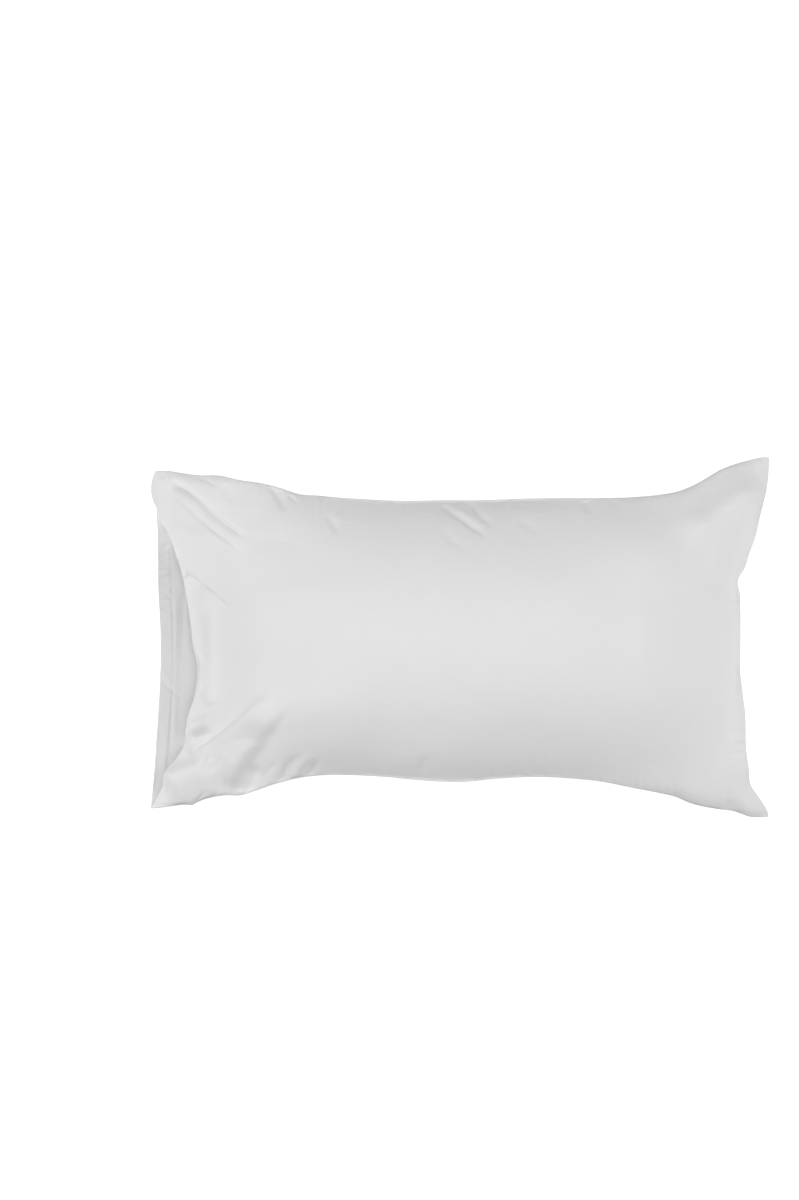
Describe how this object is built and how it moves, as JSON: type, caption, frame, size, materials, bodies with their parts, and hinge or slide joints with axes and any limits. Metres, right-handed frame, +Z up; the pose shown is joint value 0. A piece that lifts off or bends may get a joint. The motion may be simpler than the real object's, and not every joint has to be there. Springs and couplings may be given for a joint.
{
  "type": "pillowcase",
  "caption": "Plain pillowcase drawn over its pillow, lying face up: crowned face, drawn-in sides, flat corner ears and an open mouth where a turned-in edge lifts off a stitched hem.",
  "frame": {"origin": "centre of the plan box, on the surface the pillowcase lies on", "axes": "+X runs from the open mouth to the closed end, +Y from the near side seam to the far one, +Z up through the crown"},
  "size_m": [0.8582, 0.4992, 0.1815],
  "materials": {
    "face_cotton": "plain close-woven cotton, matt with a faint sheen",
    "back_cotton": "plain close-woven cotton, matt with a faint sheen"
  },
  "bodies": {
    "root": {"front_panel": "face_cotton", "back_panel": "back_cotton"}
  },
  "joints": []
}
